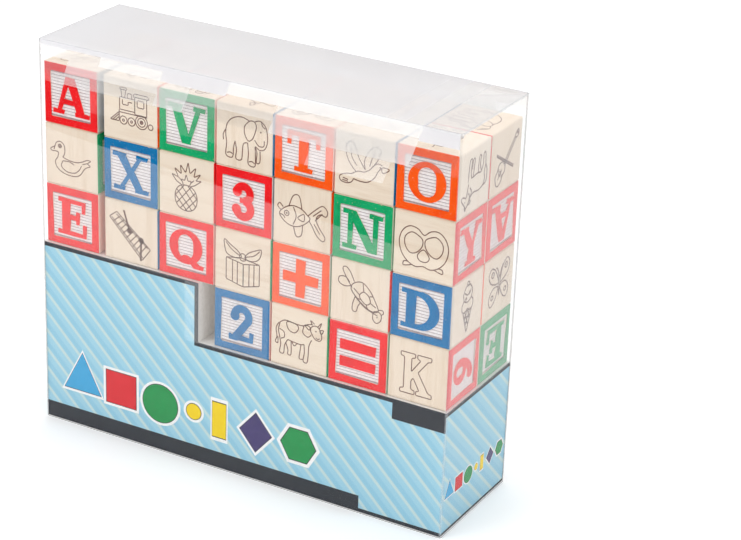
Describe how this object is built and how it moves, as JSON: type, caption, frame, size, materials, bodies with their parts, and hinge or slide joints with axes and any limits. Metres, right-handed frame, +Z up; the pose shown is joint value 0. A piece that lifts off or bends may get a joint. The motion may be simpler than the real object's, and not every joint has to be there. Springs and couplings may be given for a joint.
{
  "type": "alphabet block set in a clear box",
  "caption": "Wooden alphabet blocks with pressed, painted letters and line pictures, stacked two deep on a stepped card in a clear folding box with a tuck-in lid.",
  "frame": {"origin": "middle of the box's underside", "axes": "+X right along the front, +Y to the rear, +Z up"},
  "size_m": [0.1848, 0.054, 0.1635],
  "materials": {
    "clear_sheet": "clear calendered plastic sheet, 0.4 mm, creased",
    "printed_card": "printed and varnished white card, 0.4 mm",
    "block_wood": "sanded pale hardwood with pressed and painted letters"
  },
  "bodies": {
    "box": {"front_wall": "clear_sheet", "rear_wall": "clear_sheet", "left_wall": "clear_sheet", "right_wall": "clear_sheet", "bottom_panel": "clear_sheet", "card_riser": "printed_card"},
    "lid": {"lid_panel": "clear_sheet", "tuck_flap": "clear_sheet"},
    "left_dust_flap": {"left_dust_flap": "clear_sheet"},
    "right_dust_flap": {"right_dust_flap": "clear_sheet"},
    "front_block_r1_c1": {"front_block_r1_c1": "block_wood"},
    "front_block_r2_c1": {"front_block_r2_c1": "block_wood"},
    "front_block_r3_c1": {"front_block_r3_c1": "block_wood"},
    "front_block_r1_c2": {"front_block_r1_c2": "block_wood"},
    "front_block_r2_c2": {"front_block_r2_c2": "block_wood"},
    "front_block_r3_c2": {"front_block_r3_c2": "block_wood"},
    "front_block_r1_c3": {"front_block_r1_c3": "block_wood"},
    "front_block_r2_c3": {"front_block_r2_c3": "block_wood"},
    "front_block_r3_c3": {"front_block_r3_c3": "block_wood"},
    "front_block_r1_c4": {"front_block_r1_c4": "block_wood"},
    "front_block_r2_c4": {"front_block_r2_c4": "block_wood"},
    "front_block_r3_c4": {"front_block_r3_c4": "block_wood"},
    "front_block_r4_c4": {"front_block_r4_c4": "block_wood"},
    "front_block_r1_c5": {"front_block_r1_c5": "block_wood"},
    "front_block_r2_c5": {"front_block_r2_c5": "block_wood"},
    "front_block_r3_c5": {"front_block_r3_c5": "block_wood"},
    "front_block_r4_c5": {"front_block_r4_c5": "block_wood"},
    "front_block_r1_c6": {"front_block_r1_c6": "block_wood"},
    "front_block_r2_c6": {"front_block_r2_c6": "block_wood"},
    "front_block_r3_c6": {"front_block_r3_c6": "block_wood"},
    "front_block_r4_c6": {"front_block_r4_c6": "block_wood"},
    "front_block_r1_c7": {"front_block_r1_c7": "block_wood"},
    "front_block_r2_c7": {"front_block_r2_c7": "block_wood"},
    "front_block_r3_c7": {"front_block_r3_c7": "block_wood"},
    "front_block_r4_c7": {"front_block_r4_c7": "block_wood"},
    "rear_block_r1_c1": {"rear_block_r1_c1": "block_wood"},
    "rear_block_r2_c1": {"rear_block_r2_c1": "block_wood"},
    "rear_block_r3_c1": {"rear_block_r3_c1": "block_wood"},
    "rear_block_r1_c2": {"rear_block_r1_c2": "block_wood"},
    "rear_block_r2_c2": {"rear_block_r2_c2": "block_wood"},
    "rear_block_r3_c2": {"rear_block_r3_c2": "block_wood"},
    "rear_block_r1_c3": {"rear_block_r1_c3": "block_wood"},
    "rear_block_r2_c3": {"rear_block_r2_c3": "block_wood"},
    "rear_block_r3_c3": {"rear_block_r3_c3": "block_wood"},
    "rear_block_r1_c4": {"rear_block_r1_c4": "block_wood"},
    "rear_block_r2_c4": {"rear_block_r2_c4": "block_wood"},
    "rear_block_r3_c4": {"rear_block_r3_c4": "block_wood"},
    "rear_block_r4_c4": {"rear_block_r4_c4": "block_wood"},
    "rear_block_r1_c5": {"rear_block_r1_c5": "block_wood"},
    "rear_block_r2_c5": {"rear_block_r2_c5": "block_wood"},
    "rear_block_r3_c5": {"rear_block_r3_c5": "block_wood"},
    "rear_block_r4_c5": {"rear_block_r4_c5": "block_wood"},
    "rear_block_r1_c6": {"rear_block_r1_c6": "block_wood"},
    "rear_block_r2_c6": {"rear_block_r2_c6": "block_wood"},
    "rear_block_r3_c6": {"rear_block_r3_c6": "block_wood"},
    "rear_block_r4_c6": {"rear_block_r4_c6": "block_wood"},
    "rear_block_r1_c7": {"rear_block_r1_c7": "block_wood"},
    "rear_block_r2_c7": {"rear_block_r2_c7": "block_wood"},
    "rear_block_r3_c7": {"rear_block_r3_c7": "block_wood"},
    "rear_block_r4_c7": {"rear_block_r4_c7": "block_wood"}
  },
  "joints": [
    {"name": "lid_hinge", "type": "hinge", "parent": "box", "child": "lid", "pos_m": [0, 0.027, 0.1631], "axis": [-1, 0, 0], "range_deg": [0, 135], "deforming": ["tuck_flap"]},
    {"name": "left_dust_flap_hinge", "type": "hinge", "parent": "box", "child": "left_dust_flap", "pos_m": [-0.0924, 0, 0.1627], "axis": [0, -1, 0], "range_deg": [0, 94.5]},
    {"name": "right_dust_flap_hinge", "type": "hinge", "parent": "box", "child": "right_dust_flap", "pos_m": [0.0924, 0, 0.1627], "axis": [0, 1, 0], "range_deg": [0, 94.5]},
    {"name": "lift_front_r3_c1", "type": "slide", "parent": "box", "child": "front_block_r3_c1", "axis": [0, 0, 1], "range_m": [0, 0.0076]},
    {"name": "lift_front_r2_c1", "type": "slide", "parent": "front_block_r3_c1", "child": "front_block_r2_c1", "axis": [0, 0, 1], "range_m": [0, 0.0076]},
    {"name": "lift_front_r1_c1", "type": "slide", "parent": "front_block_r2_c1", "child": "front_block_r1_c1", "axis": [0, 0, 1], "range_m": [0, 0.0076]},
    {"name": "lift_front_r3_c2", "type": "slide", "parent": "box", "child": "front_block_r3_c2", "axis": [0, 0, 1], "range_m": [0, 0.0076]},
    {"name": "lift_front_r2_c2", "type": "slide", "parent": "front_block_r3_c2", "child": "front_block_r2_c2", "axis": [0, 0, 1], "range_m": [0, 0.0076]},
    {"name": "lift_front_r1_c2", "type": "slide", "parent": "front_block_r2_c2", "child": "front_block_r1_c2", "axis": [0, 0, 1], "range_m": [0, 0.0076]},
    {"name": "lift_front_r3_c3", "type": "slide", "parent": "box", "child": "front_block_r3_c3", "axis": [0, 0, 1], "range_m": [0, 0.0076]},
    {"name": "lift_front_r2_c3", "type": "slide", "parent": "front_block_r3_c3", "child": "front_block_r2_c3", "axis": [0, 0, 1], "range_m": [0, 0.0076]},
    {"name": "lift_front_r1_c3", "type": "slide", "parent": "front_block_r2_c3", "child": "front_block_r1_c3", "axis": [0, 0, 1], "range_m": [0, 0.0076]},
    {"name": "lift_front_r4_c4", "type": "slide", "parent": "box", "child": "front_block_r4_c4", "axis": [0, 0, 1], "range_m": [0, 0.0076]},
    {"name": "lift_front_r3_c4", "type": "slide", "parent": "front_block_r4_c4", "child": "front_block_r3_c4", "axis": [0, 0, 1], "range_m": [0, 0.0076]},
    {"name": "lift_front_r2_c4", "type": "slide", "parent": "front_block_r3_c4", "child": "front_block_r2_c4", "axis": [0, 0, 1], "range_m": [0, 0.0076]},
    {"name": "lift_front_r1_c4", "type": "slide", "parent": "front_block_r2_c4", "child": "front_block_r1_c4", "axis": [0, 0, 1], "range_m": [0, 0.0076]},
    {"name": "lift_front_r4_c5", "type": "slide", "parent": "box", "child": "front_block_r4_c5", "axis": [0, 0, 1], "range_m": [0, 0.0076]},
    {"name": "lift_front_r3_c5", "type": "slide", "parent": "front_block_r4_c5", "child": "front_block_r3_c5", "axis": [0, 0, 1], "range_m": [0, 0.0076]},
    {"name": "lift_front_r2_c5", "type": "slide", "parent": "front_block_r3_c5", "child": "front_block_r2_c5", "axis": [0, 0, 1], "range_m": [0, 0.0076]},
    {"name": "lift_front_r1_c5", "type": "slide", "parent": "front_block_r2_c5", "child": "front_block_r1_c5", "axis": [0, 0, 1], "range_m": [0, 0.0076]},
    {"name": "lift_front_r4_c6", "type": "slide", "parent": "box", "child": "front_block_r4_c6", "axis": [0, 0, 1], "range_m": [0, 0.0076]},
    {"name": "lift_front_r3_c6", "type": "slide", "parent": "front_block_r4_c6", "child": "front_block_r3_c6", "axis": [0, 0, 1], "range_m": [0, 0.0076]},
    {"name": "lift_front_r2_c6", "type": "slide", "parent": "front_block_r3_c6", "child": "front_block_r2_c6", "axis": [0, 0, 1], "range_m": [0, 0.0076]},
    {"name": "lift_front_r1_c6", "type": "slide", "parent": "front_block_r2_c6", "child": "front_block_r1_c6", "axis": [0, 0, 1], "range_m": [0, 0.0076]},
    {"name": "lift_front_r4_c7", "type": "slide", "parent": "box", "child": "front_block_r4_c7", "axis": [0, 0, 1], "range_m": [0, 0.0076]},
    {"name": "lift_front_r3_c7", "type": "slide", "parent": "front_block_r4_c7", "child": "front_block_r3_c7", "axis": [0, 0, 1], "range_m": [0, 0.0076]},
    {"name": "lift_front_r2_c7", "type": "slide", "parent": "front_block_r3_c7", "child": "front_block_r2_c7", "axis": [0, 0, 1], "range_m": [0, 0.0076]},
    {"name": "lift_front_r1_c7", "type": "slide", "parent": "front_block_r2_c7", "child": "front_block_r1_c7", "axis": [0, 0, 1], "range_m": [0, 0.0076]},
    {"name": "lift_rear_r3_c1", "type": "slide", "parent": "box", "child": "rear_block_r3_c1", "axis": [0, 0, 1], "range_m": [0, 0.0076]},
    {"name": "lift_rear_r2_c1", "type": "slide", "parent": "rear_block_r3_c1", "child": "rear_block_r2_c1", "axis": [0, 0, 1], "range_m": [0, 0.0076]},
    {"name": "lift_rear_r1_c1", "type": "slide", "parent": "rear_block_r2_c1", "child": "rear_block_r1_c1", "axis": [0, 0, 1], "range_m": [0, 0.0076]},
    {"name": "lift_rear_r3_c2", "type": "slide", "parent": "box", "child": "rear_block_r3_c2", "axis": [0, 0, 1], "range_m": [0, 0.0076]},
    {"name": "lift_rear_r2_c2", "type": "slide", "parent": "rear_block_r3_c2", "child": "rear_block_r2_c2", "axis": [0, 0, 1], "range_m": [0, 0.0076]},
    {"name": "lift_rear_r1_c2", "type": "slide", "parent": "rear_block_r2_c2", "child": "rear_block_r1_c2", "axis": [0, 0, 1], "range_m": [0, 0.0076]},
    {"name": "lift_rear_r3_c3", "type": "slide", "parent": "box", "child": "rear_block_r3_c3", "axis": [0, 0, 1], "range_m": [0, 0.0076]},
    {"name": "lift_rear_r2_c3", "type": "slide", "parent": "rear_block_r3_c3", "child": "rear_block_r2_c3", "axis": [0, 0, 1], "range_m": [0, 0.0076]},
    {"name": "lift_rear_r1_c3", "type": "slide", "parent": "rear_block_r2_c3", "child": "rear_block_r1_c3", "axis": [0, 0, 1], "range_m": [0, 0.0076]},
    {"name": "lift_rear_r4_c4", "type": "slide", "parent": "box", "child": "rear_block_r4_c4", "axis": [0, 0, 1], "range_m": [0, 0.0076]},
    {"name": "lift_rear_r3_c4", "type": "slide", "parent": "rear_block_r4_c4", "child": "rear_block_r3_c4", "axis": [0, 0, 1], "range_m": [0, 0.0076]},
    {"name": "lift_rear_r2_c4", "type": "slide", "parent": "rear_block_r3_c4", "child": "rear_block_r2_c4", "axis": [0, 0, 1], "range_m": [0, 0.0076]},
    {"name": "lift_rear_r1_c4", "type": "slide", "parent": "rear_block_r2_c4", "child": "rear_block_r1_c4", "axis": [0, 0, 1], "range_m": [0, 0.0076]},
    {"name": "lift_rear_r4_c5", "type": "slide", "parent": "box", "child": "rear_block_r4_c5", "axis": [0, 0, 1], "range_m": [0, 0.0076]},
    {"name": "lift_rear_r3_c5", "type": "slide", "parent": "rear_block_r4_c5", "child": "rear_block_r3_c5", "axis": [0, 0, 1], "range_m": [0, 0.0076]},
    {"name": "lift_rear_r2_c5", "type": "slide", "parent": "rear_block_r3_c5", "child": "rear_block_r2_c5", "axis": [0, 0, 1], "range_m": [0, 0.0076]},
    {"name": "lift_rear_r1_c5", "type": "slide", "parent": "rear_block_r2_c5", "child": "rear_block_r1_c5", "axis": [0, 0, 1], "range_m": [0, 0.0076]},
    {"name": "lift_rear_r4_c6", "type": "slide", "parent": "box", "child": "rear_block_r4_c6", "axis": [0, 0, 1], "range_m": [0, 0.0076]},
    {"name": "lift_rear_r3_c6", "type": "slide", "parent": "rear_block_r4_c6", "child": "rear_block_r3_c6", "axis": [0, 0, 1], "range_m": [0, 0.0076]},
    {"name": "lift_rear_r2_c6", "type": "slide", "parent": "rear_block_r3_c6", "child": "rear_block_r2_c6", "axis": [0, 0, 1], "range_m": [0, 0.0076]},
    {"name": "lift_rear_r1_c6", "type": "slide", "parent": "rear_block_r2_c6", "child": "rear_block_r1_c6", "axis": [0, 0, 1], "range_m": [0, 0.0076]},
    {"name": "lift_rear_r4_c7", "type": "slide", "parent": "box", "child": "rear_block_r4_c7", "axis": [0, 0, 1], "range_m": [0, 0.0076]},
    {"name": "lift_rear_r3_c7", "type": "slide", "parent": "rear_block_r4_c7", "child": "rear_block_r3_c7", "axis": [0, 0, 1], "range_m": [0, 0.0076]},
    {"name": "lift_rear_r2_c7", "type": "slide", "parent": "rear_block_r3_c7", "child": "rear_block_r2_c7", "axis": [0, 0, 1], "range_m": [0, 0.0076]},
    {"name": "lift_rear_r1_c7", "type": "slide", "parent": "rear_block_r2_c7", "child": "rear_block_r1_c7", "axis": [0, 0, 1], "range_m": [0, 0.0076]}
  ],
  "couplings": [
    {"joint": "left_dust_flap_hinge", "follows": "lid_hinge", "ratio": 0.7},
    {"joint": "right_dust_flap_hinge", "follows": "lid_hinge", "ratio": 0.7}
  ]
}
